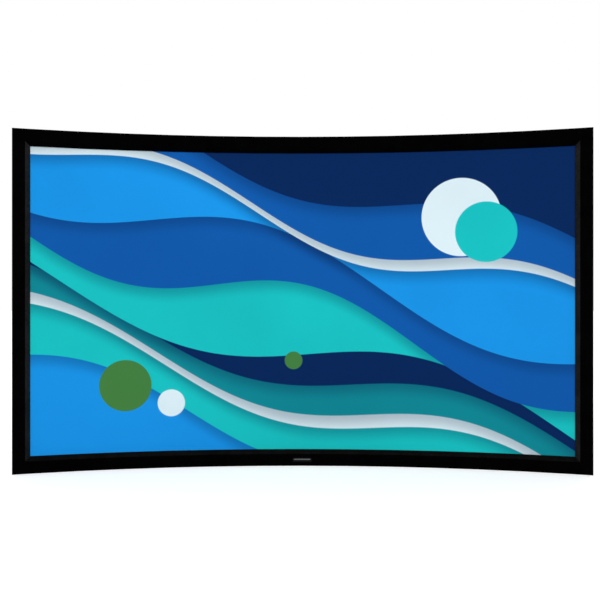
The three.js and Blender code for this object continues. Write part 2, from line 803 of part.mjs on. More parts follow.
function wallPad(side) {
  const [middleX] = rolled(side * hangerOffset, footBack);
  const middleZ = standoffLeg - HANGER_PLATE + STANDOFF_FACE / 2;
  const half = PAD_SIZE / 2;
  const corner = PAD_CORNER;
  const pad = outline([
    [-half + corner, -half],
    [half - corner, -half],
    [half, -half + corner],
    [half, half - corner],
    [half - corner, half],
    [-half + corner, half],
    [-half, half - corner],
    [-half, -half + corner],
  ]);
  return moved(extruded(pad, PAD_THICKNESS), (x, z, forward) => [
    middleX + x,
    wallY - forward,
    middleZ + z,
  ]);
}

for (const [sideName, side] of Object.entries(sides)) {
  add(`hanger_${sideName}`, "steel", hanger(side));
  add(`wall_bracket_${sideName}`, "steel", wallBracket(side));
  add(`standoff_${sideName}`, "steel", standoff(side));
  add(`wall_pad_${sideName}`, "rubber", wallPad(side));
  for (const [name, end] of [["hanger", 1], ["standoff", -1]]) {
    const s = side * hangerOffset;
    const z = end * (halfHeight + slotInset);
    add(`${name}_nut_${sideName}`, "steel", slotNut(s, z, HANGER_WIDTH, footHoles));
    footHoles.forEach((x, i) => {
      add(`${name}_screw_${sideName}_${i + 1}`, "steel", hexScrew(s + x, z, footBack, s));
    });
  }
}

// Badge

function badge() {
  const shape = new THREE.Shape();
  const x = BADGE_WIDTH / 2 - BADGE_CORNER;
  const z = BADGE_HEIGHT / 2 - BADGE_CORNER;
  shape.absarc(x, z, BADGE_CORNER, 0, Math.PI / 2, false);
  shape.absarc(-x, z, BADGE_CORNER, Math.PI / 2, Math.PI, false);
  shape.absarc(-x, -z, BADGE_CORNER, Math.PI, (3 * Math.PI) / 2, false);
  shape.absarc(x, -z, BADGE_CORNER, (3 * Math.PI) / 2, 2 * Math.PI, false);
  const middle = -halfHeight - FRAME_WIDTH + BADGE_RISE;
  return roll(
    moved(extruded(shape, BADGE_THICKNESS, 1, 3), (along, up, depth) => [
      along,
      -FIT_GAP - depth,
      middle + up,
    ]),
  );
}

add("badge_plate", "badge", badge());

// The origin is at the foot, in the middle of the object's width and depth.
const bounds = new THREE.Box3().setFromObject(object);
object.position.y = -(bounds.min.y + bounds.max.y) / 2;
object.position.z = -bounds.min.z;

export default object;
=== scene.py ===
"""Curved fixed frame projector screen, dressed for a studio picture.

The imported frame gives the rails, bars and brackets. This file adds what is soft or fine: the
velvet wraps, the stretched sheet with its hems, the rods with their clips, the bracket screws, the
bar on the badge, and a finish for every piece. Metres, +Z up, the viewer on the -Y side.
"""

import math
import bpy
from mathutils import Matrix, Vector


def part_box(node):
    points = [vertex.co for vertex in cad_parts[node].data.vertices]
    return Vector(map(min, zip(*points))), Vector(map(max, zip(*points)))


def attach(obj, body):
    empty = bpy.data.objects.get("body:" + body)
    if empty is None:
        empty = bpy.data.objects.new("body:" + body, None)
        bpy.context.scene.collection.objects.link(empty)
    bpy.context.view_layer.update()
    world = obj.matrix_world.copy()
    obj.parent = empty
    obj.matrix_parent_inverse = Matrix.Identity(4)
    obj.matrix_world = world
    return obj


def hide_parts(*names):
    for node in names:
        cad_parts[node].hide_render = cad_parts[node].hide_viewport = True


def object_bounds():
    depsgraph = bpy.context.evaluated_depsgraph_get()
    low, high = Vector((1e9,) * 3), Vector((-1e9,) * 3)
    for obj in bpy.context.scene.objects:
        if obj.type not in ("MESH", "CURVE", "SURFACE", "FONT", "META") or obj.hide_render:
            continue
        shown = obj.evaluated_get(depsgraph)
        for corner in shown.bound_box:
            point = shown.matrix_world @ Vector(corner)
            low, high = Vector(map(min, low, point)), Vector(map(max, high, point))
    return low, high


bl_info = {
    "name": "Curved projector screen",
    "version": (1, 0, 0),
    "blender": (4, 5, 0),
    "location": "View3D > Sidebar > Screen",
    "description": "Dresses a curved fixed frame projector screen and sets up its studio",
    "category": "Object",
}

import bmesh
import bpy
import numpy as np
from bpy.props import FloatProperty, FloatVectorProperty, IntProperty, PointerProperty
from mathutils import Vector

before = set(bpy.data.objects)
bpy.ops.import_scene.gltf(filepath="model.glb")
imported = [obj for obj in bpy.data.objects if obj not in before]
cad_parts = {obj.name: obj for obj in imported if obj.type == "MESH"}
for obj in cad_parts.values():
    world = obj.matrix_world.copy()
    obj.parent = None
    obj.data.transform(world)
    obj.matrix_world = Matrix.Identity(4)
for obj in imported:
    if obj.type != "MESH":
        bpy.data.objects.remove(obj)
CAD_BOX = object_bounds()
ROOT = "root"

MM = 0.001
SIDES = (("left", -1), ("right", 1))
ENDS = (("bottom", -1), ("top", 1))

# Height of the screen's middle
MID_HEIGHT = (CAD_BOX[0].z + CAD_BOX[1].z) / 2


# Settings


def number(name, description, default, **kind):
    return FloatProperty(name=name, description=description, default=default, **kind)


def length(name, description, default):
    return number(name, description, default, min=0.0, unit="LENGTH", precision=4)


def colour(name, description, default):
    return FloatVectorProperty(
        name=name,
        description=description,
        default=default,
        size=3,
        min=0.0,
        max=1.0,
        subtype="COLOR",
    )


class ScreenSizes(bpy.types.PropertyGroup):
    """Sizes of the screen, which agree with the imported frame"""

    view_width: length("View width", "Width of the opening along the curve", 2.657)
    view_height: length("View height", "Height of the opening", 1.494)
    radius: length("Radius", "Radius of the viewing surface", 4.8)
    facets: IntProperty(
        name="Facets", description="Flat facets from the middle to a side", default=6, min=1
    )
    frame_width: length("Frame width", "Width of the frame seen from the front", 0.082)
    frame_depth: length("Frame depth", "Depth of the frame", 0.038)
    bevel_width: length("Bevel width", "Width of the inner bevel", 0.022)
    bevel_depth: length("Bevel depth", "Depth of the inner bevel", 0.013)
    wall: length("Wall", "Wall of the aluminium section", 0.002)
    velvet: length("Velvet", "Thickness of the velvet and its backing", 0.0008)
    fit_gap: length("Fit gap", "Clearance between fitted pieces", 0.0003)
    sheet: length("Sheet", "Thickness of the screen sheet", 0.0006)
    sheet_margin: length("Sheet margin", "Sheet hidden behind the lip", 0.006)
    hem_set_back: length("Hem set-back", "Distance from a hem's end to the corner", 0.015)
    hem_weld: length("Hem weld", "Width of the hem's weld", 0.006)
    hem_slack: length("Hem slack", "Play of a rod in its hem", 0.0006)
    rod: length("Rod", "Diameter of a tension rod", 0.006)
    rod_inset: length("Rod inset", "Distance from the opening to a rod", 0.024)
    clip_wall: length("Clip wall", "Thickness of a clip's arm", 0.0024)
    clip_width: length("Clip width", "Width of a clip", 0.014)
    clip_pitch: length("Clip pitch", "Rough distance from clip to clip", 0.22)


class ScreenColours(bpy.types.PropertyGroup):
    """Colours of the screen"""

    velvet_face: colour("Velvet face", "Velvet on the flat of the frame", (0.0009, 0.0009, 0.001))
    # The side and lower bevel colours are painted light: one velvet, made lighter there than on the
    # face.
    velvet_side: colour("Side bevel", "Velvet on the side bevels", (0.012, 0.012, 0.013))
    velvet_foot: colour("Lower bevel", "Velvet on the lower bevel", (0.004, 0.004, 0.0042))
    powder: colour("Powder coat", "Coating of the aluminium", (0.02, 0.021, 0.023))
    bar: colour("Bar", "Plain aluminium of the support bars", (0.5, 0.51, 0.53))
    zinc: colour("Zinc", "Plating of the brackets and screws", (0.4, 0.42, 0.44))
    clip: colour("Clip", "Moulded clips", (0.016, 0.016, 0.018))
    rod: colour("Rod", "Glass fibre rods", (0.72, 0.68, 0.55))
    backing: colour("Backing", "Black back of the sheet", (0.01, 0.01, 0.011))
    rubber: colour("Rubber", "Wall pads", (0.02, 0.02, 0.02))
    badge: colour("Badge", "Badge plate", (0.004, 0.004, 0.0042))
    bar_mark: colour("Badge bar", "Plain bar on the badge plate", (0.11, 0.112, 0.115))
    # The picture's colours: a projector's light, painted into the sheet's colour.
    navy: colour("Navy", "Darkest field of the design", (0.002, 0.02, 0.1))
    blue: colour("Blue", "Deep blue fields", (0.005, 0.1, 0.4))
    azure: colour("Azure", "Bright blue fields", (0.01, 0.3, 0.8))
    teal: colour("Teal", "Dark turquoise fields", (0.005, 0.25, 0.3))
    turquoise: colour("Turquoise", "Bright turquoise fields", (0.01, 0.55, 0.55))
    pale: colour("Pale", "Pale ribbons and discs", (0.75, 0.9, 0.95))
    leaf: colour("Leaf", "Green discs", (0.06, 0.22, 0.05))


class ScreenStudio(bpy.types.PropertyGroup):
    """Camera and light"""

    distance: length("Distance", "From the camera to the sides of the frame", 3.598)
    lens: number("Lens", "Focal length of the camera", 45.31, unit="CAMERA")
    turn: number("Turn", "Turn of the camera to the left", 0.0049, unit="ROTATION")
    across: number("Across", "Moves the screen right in the view", -1.57, subtype="PIXEL")
    down: number("Down", "Moves the screen down in the view", 1.26, subtype="PIXEL")
    ambient: number("Ambient", "Strength of the surround", 0.62, min=0.0)


def sizes():
    return bpy.context.scene.screen_sizes


def colours():
    return bpy.context.scene.screen_colours


# The rolled surface that every piece shares


def mirrored(values):
    """Distances to both sides of the middle, from those to one side, which start at 0."""
    return [-value for value in reversed(values[1:])] + values


class Roll:
    """Where a point of the flat drawing lies once the piece is rolled to the radius.

    s runs along the curve from the middle, depth is behind the frame's front face and z is the
    height above the middle of the screen. The curve is made of flat facets between the stations.
    """

    def __init__(self):
        p = sizes()
        self.half_width = p.view_width / 2
        self.half_height = p.view_height / 2
        self.hem_half = self.half_width - p.hem_set_back
        self.facet = self.hem_half / p.facets
        inboard = [i * self.facet for i in range(p.facets + 1)]
        outboard = [self.half_width + p.sheet_margin, self.half_width + p.frame_width]
        self.stations = mirrored(inboard + outboard)

        # The bevel's slope, the velvet with its gap, and the round nose that the velvet turns over
        self.slope = math.atan2(p.bevel_depth, p.bevel_width)
        self.stack = p.velvet + p.fit_gap
        self.nose = p.wall / 2 + self.stack
        drop = (p.bevel_width - self.nose) * math.sin(self.slope)
        self.nose_depth = (self.nose + drop) / math.cos(self.slope)

        self.sheet_front = self.nose_depth + self.nose + p.fit_gap
        self.sheet_back = self.sheet_front + p.sheet
        self.rod_depth = self.sheet_back + p.hem_slack + p.rod / 2
        self.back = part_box("rail_top_left")[1].y - p.frame_depth + self.sheet_front

    def on_arc(self, s, depth):
        radius = sizes().radius + depth - self.sheet_front
        angle = s / sizes().radius
        return Vector((radius * math.sin(angle), radius * math.cos(angle) - sizes().radius))

    def flat(self, s, depth):
        """The faceted place, in plan."""
        i = next((k for k, station in enumerate(self.stations) if station > s), len(self.stations))
        i = min(max(i - 1, 0), len(self.stations) - 2)
        a, b = self.stations[i], self.stations[i + 1]
        return self.on_arc(a, depth).lerp(self.on_arc(b, depth), (s - a) / (b - a))

    def point(self, s, depth, z, round_share=0.0):
        """The faceted place, moved by a share of the way to the true arc."""
        p = self.flat(s, depth)
        if round_share:
            p = p.lerp(self.on_arc(s, depth), round_share)
        return Vector((p.x, p.y + self.back, z + MID_HEIGHT))

    def turned(self, s, offset, depth, z):
        """A point of a straight piece that is turned to face the middle of the curve at s."""
        step = self.facet / 100
        along = (self.flat(s + step, 0) - self.flat(s - step, 0)).normalized()
        p = self.flat(s, 0) + along * offset + Vector((-along.y, along.x)) * depth
        return Vector((p.x, p.y + self.back, z + MID_HEIGHT))


def arc(centre, radius, start, end, steps):
    """Points of an arc, from the start angle to the end angle in radians."""
    angles = np.linspace(start, end, steps + 1)
    return [(centre[0] + radius * math.cos(a), centre[1] + radius * math.sin(a)) for a in angles]


# Mesh helpers


# Edges that turn less than this are shaded smooth.
SMOOTH_ANGLE = math.radians(35)


class Builder:
    """Collects the rings and revolved shapes of one piece."""

    def __init__(self, name):
        self.name = name
        self.bm = bmesh.new()
        self.uv = self.bm.loops.layers.uv.new("UVMap")

    def sweep(self, rings, uvs=None, closed=True, material=0):
        """Joins rings of the same count. closed joins a ring's ends and caps the first and last."""
        rows = [[self.bm.verts.new(p) for p in ring] for ring in rings]
        count = len(rows[0])
        for i in range(len(rows) - 1):
            for j in range(count if closed else count - 1):
                k = (j + 1) % count
                corners = [rows[i][j], rows[i][k], rows[i + 1][k], rows[i + 1][j]]
                face = self.bm.faces.new(corners)
                face.material_index = material
                if uvs:
                    u0, u1 = uvs[0][j : j + 2]
                    v0, v1 = uvs[1][i : i + 2]
                    for loop, value in zip(face.loops, ((u0, v0), (u1, v0), (u1, v1), (u0, v1))):
                        loop[self.uv].uv = value
        if closed:
            for row in (rows[0][::-1], rows[-1]):
                self.bm.faces.new(row).material_index = material
        return rows

    def revolve(self, profile, place, sides):
        """A turned shape. The profile is (radius, depth) pairs that start and end on the axis."""
        rings = []
        for radius, depth in profile[1:-1]:
            angles = np.linspace(0, 2 * math.pi, sides, endpoint=False)
            ring = [place(radius * math.cos(a), depth, radius * math.sin(a)) for a in angles]
            rings.append([self.bm.verts.new(p) for p in ring])
        tips = [self.bm.verts.new(place(0, depth, 0)) for _, depth in (profile[0], profile[-1])]
        for a, b in zip(rings, rings[1:]):
            for j in range(sides):
                k = (j + 1) % sides
                self.bm.faces.new((a[j], a[k], b[k], b[j]))
        for tip, ring in zip(tips, (rings[0], rings[-1])):
            for j in range(sides):
                self.bm.faces.new((tip, ring[j], ring[(j + 1) % sides]))

    def piece(self, slot, *materials):
        """Makes the object, smooths its shallow edges, and fixes it to the frame's body."""
        bmesh.ops.recalc_face_normals(self.bm, faces=self.bm.faces)
        mesh = bpy.data.meshes.new(self.name)
        self.bm.to_mesh(mesh)
        self.bm.free()
        mesh.polygons.foreach_set("use_smooth", [True] * len(mesh.polygons))
        mesh.set_sharp_from_angle(angle=SMOOTH_ANGLE)
        for material in materials:
            mesh.materials.append(material)
        piece = bpy.data.objects.new(self.name, mesh)
        bpy.context.scene.collection.objects.link(piece)
        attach(piece, ROOT)
        return piece


# Finishes


# How fine a texture is along a piece, beside across it, where its lines are drawn out
DRAWN_OUT = 0.02

# Threads to the metre in the scrim behind the sheet
SCRIM_THREADS = 260

# The velvet passes from the face's colour to the bevel's painted light over this far to each side
# of the bevel's crest.
CREST_BLEND = 1.5 * MM


class Finish:
    """A node material in the making."""

    def __init__(self, name):
        self.material = bpy.data.materials.new(name)
        self.material.use_nodes = True
        self.nodes = self.material.node_tree.nodes
        self.links = self.material.node_tree.links
        self.shader = self.nodes["Principled BSDF"]
        self.column = 0

    def node(self, kind, **settings):
        node = self.nodes.new(kind)
        self.column += 1
        node.location = (-200 * self.column, -60 * (self.column % 5))
        for key, value in settings.items():
            setattr(node, key, value)
        return node

    def set(self, **values):
        for key, value in values.items():
            self.shader.inputs[key.replace("_", " ")].default_value = value

    def feed(self, source, socket):
        """Links a socket, or sets a plain number or colour on it."""
        if isinstance(source, bpy.types.NodeSocket):
            self.links.new(source, socket)
        elif isinstance(source, (tuple, list)) and len(source) == 3 and socket.type == "RGBA":
            socket.default_value = (*source, 1)
        else:
            socket.default_value = source

    def math(self, operation, a, b=0.0, c=0.0, clamp=False):
        node = self.node("ShaderNodeMath", operation=operation, use_clamp=clamp)
        for value, socket in zip((a, b, c), node.inputs):
            self.feed(value, socket)
        return node.outputs[0]

    def map(self, value, low, high, to_low=0.0, to_high=1.0, smooth=True):
        kind = "SMOOTHSTEP" if smooth else "LINEAR"
        node = self.node("ShaderNodeMapRange", interpolation_type=kind)
        for source, socket in zip((value, low, high, to_low, to_high), node.inputs):
            self.feed(source, socket)
        return node.outputs[0]

    def mix(self, share, a, b):
        node = self.node("ShaderNodeMix", data_type="RGBA")
        self.feed(share, node.inputs[0])
        self.feed(a, node.inputs[6])
        self.feed(b, node.inputs[7])
        return node.outputs[2]

    def scaled(self, colour, factor):
        node = self.node("ShaderNodeVectorMath", operation="SCALE")
        self.feed(colour, node.inputs[0])
        self.feed(factor, node.inputs["Scale"])
        return node.outputs[0]

    def coordinates(self, kind="Object", scale=(1, 1, 1)):
        source = self.node("ShaderNodeTexCoord")
        mapping = self.node("ShaderNodeMapping")
        mapping.inputs["Scale"].default_value = scale
        self.links.new(source.outputs[kind], mapping.inputs["Vector"])
        return mapping.outputs[0]

    def parts(self, vector):
        """The X, Y and Z of a vector."""
        node = self.node("ShaderNodeSeparateXYZ")
        self.links.new(vector, node.inputs[0])
        return node.outputs

    def noise(self, scale, vector=None, detail=3.0, roughness=0.5, distortion=0.0):
        """Noise of scale features to the metre, in object coordinates unless others are given."""
        node = self.node("ShaderNodeTexNoise")
        self.feed(self.coordinates() if vector is None else vector, node.inputs["Vector"])
        given = {"Scale": scale, "Detail": detail, "Roughness": roughness, "Distortion": distortion}
        for key, value in given.items():
            node.inputs[key].default_value = value
        return node.outputs["Fac"]

    def cells(self, scale):
        """How far a point is from the middle of its cell."""
        node = self.node("ShaderNodeTexVoronoi", feature="F1")
        node.inputs["Scale"].default_value = scale
        self.links.new(self.coordinates(), node.inputs["Vector"])
        return node.outputs["Distance"]

    def bump(self, height, distance, strength=1.0):
        node = self.node("ShaderNodeBump")
        node.inputs["Strength"].default_value = strength
        node.inputs["Distance"].default_value = distance
        self.feed(height, node.inputs["Height"])
        self.links.new(node.outputs[0], self.shader.inputs["Normal"])

    def colour(self, value):
        self.feed(value, self.shader.inputs["Base Color"])

    def shades(self, share, base, dark, light):
        """Varies the colour from a darker to a lighter shade of the base."""
        self.colour(self.mix(share, tinted(base, dark), tinted(base, light)))

    def roughness(self, noise, low, high, span=0.2):
        """Varies the roughness as the noise rises through its middle."""
        value = self.map(noise, 0.5 - span, 0.5 + span, low, high)
        self.feed(value, self.shader.inputs["Roughness"])


def tinted(colour, factor):
    return tuple(min(1.0, c * factor) for c in colour)


def velvet_finish(name, bevel):
    """Pile that is darkest on the flat of the frame; on the bevel it takes its own colour, lighter
    by painted light.
    """
    finish = Finish(name)
    crest = sizes().bevel_width
    inset = finish.parts(finish.coordinates("UV"))[0]
    # Painted light: the bevel takes its own lighter colour, and the flat keeps the face's.
    painted_bevel_light = finish.map(inset, crest + CREST_BLEND, crest - CREST_BLEND)
    base = finish.mix(painted_bevel_light, tuple(colours().velvet_face), tuple(bevel))
    patches = finish.noise(scale=14, detail=4, roughness=0.6)
    pile = finish.noise(scale=1100, detail=2, roughness=0.7)
    nap = finish.noise(scale=260, vector=finish.coordinates(scale=(1, 1, 0.4)), detail=2)
    stroked = finish.map(patches, 0.3, 0.7, 0.75, 1.25)
    pile_and_glints = finish.math("ADD", pile, finish.math("MULTIPLY", nap, 0.3))
    # Partly the pile's own tone, partly painted glints, as of fibre tips that catch the light.
    tips = finish.map(pile_and_glints, 0.5, 0.8, 0.4, 1.7)
    finish.colour(finish.scaled(base, finish.math("MULTIPLY", stroked, tips)))
    finish.bump(finish.math("ADD", pile, nap), 0.4 * MM, strength=0.6)
    finish.set(Roughness=1.0, Specular_IOR_Level=0.0)
    finish.set(Sheen_Weight=0.05, Sheen_Roughness=0.2, Sheen_Tint=(0.5, 0.5, 0.52, 1))
    return finish.material


def powder_finish():
    """Black powder coat with a fine orange peel and faint clouds."""
    finish = Finish("powder_coat")
    clouds = finish.noise(scale=9, detail=5)
    finish.shades(finish.map(clouds, 0.35, 0.7), colours().powder, 0.8, 1.5)
    finish.roughness(finish.noise(scale=60), 0.42, 0.6)
    finish.bump(finish.noise(scale=900, detail=2), 0.12 * MM, strength=0.35)
    finish.set(Specular_IOR_Level=0.45)
    return finish.material


def brushed_finish(name, base, along, metallic=1.0, rough=(0.26, 0.42)):
    """Metal with drawing lines that run along one axis."""
    finish = Finish(name)
    stretch = [1, 1, 1]
    stretch[along] = DRAWN_OUT
    drawn = finish.coordinates(scale=stretch)
    lines = finish.noise(scale=700, vector=drawn, detail=4, roughness=0.65)
    clouds = finish.noise(scale=22, detail=4)
    fine = finish.math("MULTIPLY", lines, 0.4)
    broad = finish.math("MULTIPLY", clouds, 0.6)
    finish.shades(finish.map(finish.math("ADD", fine, broad), 0.35, 0.65), base, 0.88, 1.12)
    finish.roughness(lines, *rough)
    finish.bump(lines, 0.05 * MM, strength=0.3)
    finish.set(Metallic=metallic)
    return finish.material


def zinc_finish():
    """Zinc plating: small crystals, a faint yellow and blue cast, and dull patches."""
    finish = Finish("zinc_plating")
    red, green, blue = colours().zinc
    warm = (red * 1.03, green, blue * 0.92)
    cool = (red * 0.93, green * 0.97, blue * 1.04)
    cast = finish.map(finish.noise(scale=35), 0.38, 0.62)
    crystals = finish.cells(scale=420)
    grain = finish.map(crystals, 0, 0.9, 0.85, 1.1)
    finish.colour(finish.scaled(finish.mix(cast, warm, cool), grain))
    finish.roughness(finish.noise(scale=90), 0.3, 0.48)
    finish.bump(crystals, 0.05 * MM, strength=0.25)
    finish.set(Metallic=1.0)
    return finish.material


def plastic_finish(name, base, roughness=0.48, gloss=0.5):
    """Moulded plastic with a fine spark texture."""
    finish = Finish(name)
    spark = finish.noise(scale=1400, detail=2)
    finish.shades(finish.noise(scale=30), base, 0.8, 1.3)
    finish.roughness(spark, roughness - 0.08, roughness + 0.1)
    finish.bump(spark, 0.08 * MM, strength=0.4)
    finish.set(Specular_IOR_Level=gloss)
    return finish.material


def fibre_finish():
    """Drawn glass fibre: pale resin with threads that run along the rod."""
    finish = Finish("glass_fibre")
    threads = finish.noise(scale=1200, vector=finish.coordinates("UV", (1, DRAWN_OUT, 1)))
    finish.shades(finish.map(threads, 0.35, 0.65), colours().rod, 0.72, 1.1)
    finish.bump(threads, 0.08 * MM, strength=0.4)
    finish.set(Roughness=0.42, Coat_Weight=0.2, Coat_Roughness=0.25)
    return finish.material


def rubber_finish():
    """Black rubber with a dimpled face."""
    finish = Finish("pad_rubber")
    finish.shades(finish.noise(scale=60), colours().rubber, 0.7, 1.6)
    finish.bump(finish.cells(scale=380), 0.3 * MM, strength=0.5)
    finish.set(Roughness=0.88)
    return finish.material


def backing_finish():
    """Black light-proof back of the sheet: scuffs, pale specks and the weave of its scrim."""
    finish = Finish("sheet_backing")
    threads = []
    for direction in ("X", "Y"):
        wave = finish.node("ShaderNodeTexWave", bands_direction=direction)
        finish.links.new(finish.coordinates("UV"), wave.inputs["Vector"])
        wave.inputs["Scale"].default_value = SCRIM_THREADS
        threads.append(wave.outputs["Fac"])
    scuffs = finish.noise(scale=5, detail=8, roughness=0.68, distortion=0.3)
    specks = finish.map(finish.noise(scale=210), 0.58, 0.75, 0.0, 0.35)
    worn = finish.math("ADD", finish.map(scuffs, 0.4, 0.68), specks, clamp=True)
    finish.shades(worn, colours().backing, 0.85, 1.8)
    finish.roughness(scuffs, 0.5, 0.75, span=0.15)
    finish.bump(finish.math("MULTIPLY", *threads), 0.08 * MM, strength=0.35)
    finish.set(Specular_IOR_Level=0.22)
    return finish.material


# The projected picture, painted into the sheet's colour as painted light: ribbons of colour, laid
# over each other, with a few discs


DESIGN_ASPECT = 1.778

# The lowest field, then each ribbon's colour, height at the left, swing, waves across and start
GROUND = "azure"
RIBBONS = (
    ("turquoise", 0.02, 0.07, 0.8, 0.1),
    ("pale", 0.15, 0.08, 0.7, 0.2),
    ("teal", 0.185, 0.08, 0.7, 0.22),
    ("navy", 0.27, 0.085, 0.66, 0.3),
    ("turquoise", 0.33, 0.1, 0.6, 0.45),
    ("blue", 0.47, 0.09, 0.75, 0.55),
    ("azure", 0.62, 0.1, 0.65, 0.75),
    ("pale", 0.75, 0.07, 0.8, 0.9),
    ("blue", 0.78, 0.07, 0.8, 0.92),
    ("navy", 0.92, 0.08, 0.7, 0.15),
)
RIBBON_CLIMB = -0.3
RIBBON_EDGE = 0.0015
RIBBON_SHADOW = 0.055
SHADOW_SHARE = 0.4
DRIFT_SCALE = 1.6
DRIFT_SHARE = 0.1

# Centre, radius and colour of each disc
DISCS = (
    ((1.42, 0.78), 0.13, "pale"),
    ((1.5, 0.73), 0.1, "turquoise"),
    ((0.3, 0.22), 0.085, "leaf"),
    ((0.45, 0.16), 0.045, "pale"),
    ((0.86, 0.3), 0.03, "leaf"),
)


class PaintedProjection:
    """Paints the projected picture on the sheet in nodes, as painted light. x runs from 0 to the
    aspect and y from 0, at the foot, to 1.
    """

    def __init__(self, finish):
        self.f = finish
        self.place = finish.coordinates("UV", (DESIGN_ASPECT, 1, 1))
        self.x, self.y, _ = finish.parts(self.place)

    @staticmethod
    def tone(name):
        return tuple(getattr(colours(), name))

    def height_over(self, rise, swing, waves, start):
        """How far a point lies above a ribbon's edge."""
        f = self.f
        turn = f.math("MULTIPLY_ADD", self.x, math.tau * waves, math.tau * start)
        wave = f.math("MULTIPLY", f.math("SINE", turn), swing)
        left = rise - RIBBON_CLIMB * DESIGN_ASPECT / 2
        slope = f.math("MULTIPLY_ADD", self.x, RIBBON_CLIMB, left)
        return f.math("SUBTRACT", self.y, f.math("ADD", slope, wave))

    def ribbon(self, under, name, *edge):
        """Lays one field over the ones below, with a soft shadow at its edge."""
        f = self.f
        above = self.height_over(*edge)
        shadow = f.map(above, -RIBBON_SHADOW, 0.0, 0.0, SHADOW_SHARE)
        shaded = f.mix(shadow, under, self.tone("navy"))
        return f.mix(f.map(above, -RIBBON_EDGE, RIBBON_EDGE), shaded, self.tone(name))

    def disc(self, under, centre, radius, name):
        """Lays a disc over the fields."""
        f = self.f
        across = f.math("SUBTRACT", self.x, centre[0])
        up = f.math("SUBTRACT", self.y, centre[1])
        squares = f.math("ADD", f.math("MULTIPLY", across, across), f.math("MULTIPLY", up, up))
        inside = f.math("SUBTRACT", radius, f.math("SQRT", squares))
        return f.mix(f.map(inside, -RIBBON_EDGE, RIBBON_EDGE), under, self.tone(name))

    def paint(self):
        """The whole design, with a slight drift of tone across it."""
        f = self.f
        out = self.tone(GROUND)
        for name, *edge in RIBBONS:
            out = self.ribbon(out, name, *edge)
        for centre, radius, name in DISCS:
            out = self.disc(out, centre, radius, name)
        drift = f.map(f.noise(DRIFT_SCALE, self.place), 0.3, 0.7, 0.0, DRIFT_SHARE)
        return f.mix(drift, out, self.tone("navy"))


def painted_projection_finish():
    """Matte white sheet, with the projected picture painted into its colour as painted light."""
    finish = Finish("sheet_picture")
    finish.colour(PaintedProjection(finish).paint())
    finish.bump(finish.noise(scale=2200, detail=1), 0.03 * MM, strength=0.2)
    finish.set(Roughness=0.95, Specular_IOR_Level=0.05)
    return finish.material


# Velvet


# The frame's outer corner, and the bare bead behind the velvet
EDGE_RADIUS = 2 * MM
BEAD_WIDTH = 7 * MM
BEAD_RISE = 0.2 * MM

# The crest between face and bevel: its reach to each side, and its middle
CREST_REACH = 1.2 * MM
CREST_SHIFT = 0.2 * MM
CREST_DROP = 0.07 * MM

# The straight part behind the lip, and the whole turn-in as it is cut
TUCK = 8 * MM
TURN_IN = 14 * MM

# The pile closes the joints of the frame to a hair.
PILE_GAP = 0.03 * MM

# Lines of the mesh: one about half-way along the side and one along the face, then the steps
SIDE_LINE = 0.6
FACE_LINE = 0.55
CORNER_STEPS = 8
NOSE_STEPS = 12
FACET_STEPS = 3
MITRE_SHARES = (1 / 3, 2 / 3, 1)
STILE_RINGS = 25


def insets(section):
    """The insets of a closed section, with the first one again at the end."""
    return [u for u, _ in section + section[:1]]


def velvet_section(roll):
    """The wrap's closed section as (inset, depth) points: the outer line, then the inner one."""
    p = sizes()
    side = p.frame_width - BEAD_RISE
    rear = p.frame_depth - BEAD_WIDTH - p.fit_gap
    radius = EDGE_RADIUS + roll.stack
    corner = (side - radius, radius)
    nose = (roll.nose, roll.nose_depth)
    start = -math.pi / 2 - roll.slope
    sine, cosine = math.sin(roll.slope), math.cos(roll.slope)

    def line(cover):
        """The line that lies so far beneath the pile."""
        crest = p.bevel_width + cover * math.tan(roll.slope / 2)
        bend = roll.nose - cover
        return [
            (side - cover, rear),
            (side - cover, rear * SIDE_LINE),
            *arc(corner, radius - cover, 0, -math.pi / 2, CORNER_STEPS),
            (p.frame_width * FACE_LINE, cover),
            (crest + CREST_REACH, cover),
            (crest + CREST_SHIFT, cover + CREST_DROP),
            (crest - CREST_REACH * cosine, cover + CREST_REACH * sine),
            *arc(nose, bend, start, start - math.pi, NOSE_STEPS),
            (nose[0] + bend * sine + TUCK * cosine, nose[1] + bend * cosine - TUCK * sine),
        ]

    return line(0.0) + line(p.velvet)[::-1]


def velvet_wrap(where, rings, uvs, finish):
    """One wrap, which is a strip of cloth, glued on: side, face, bevel and turn-in."""
    p = sizes()
    build = Builder(f"velvet_wrap_{where}")
    build.sweep(rings, uvs)
    piece = build.piece("velvet", finish)
    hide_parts(f"velvet_{where}")
    around = p.frame_depth - BEAD_WIDTH + p.frame_width - p.bevel_width
    around += math.hypot(p.bevel_width, p.bevel_depth) + TURN_IN


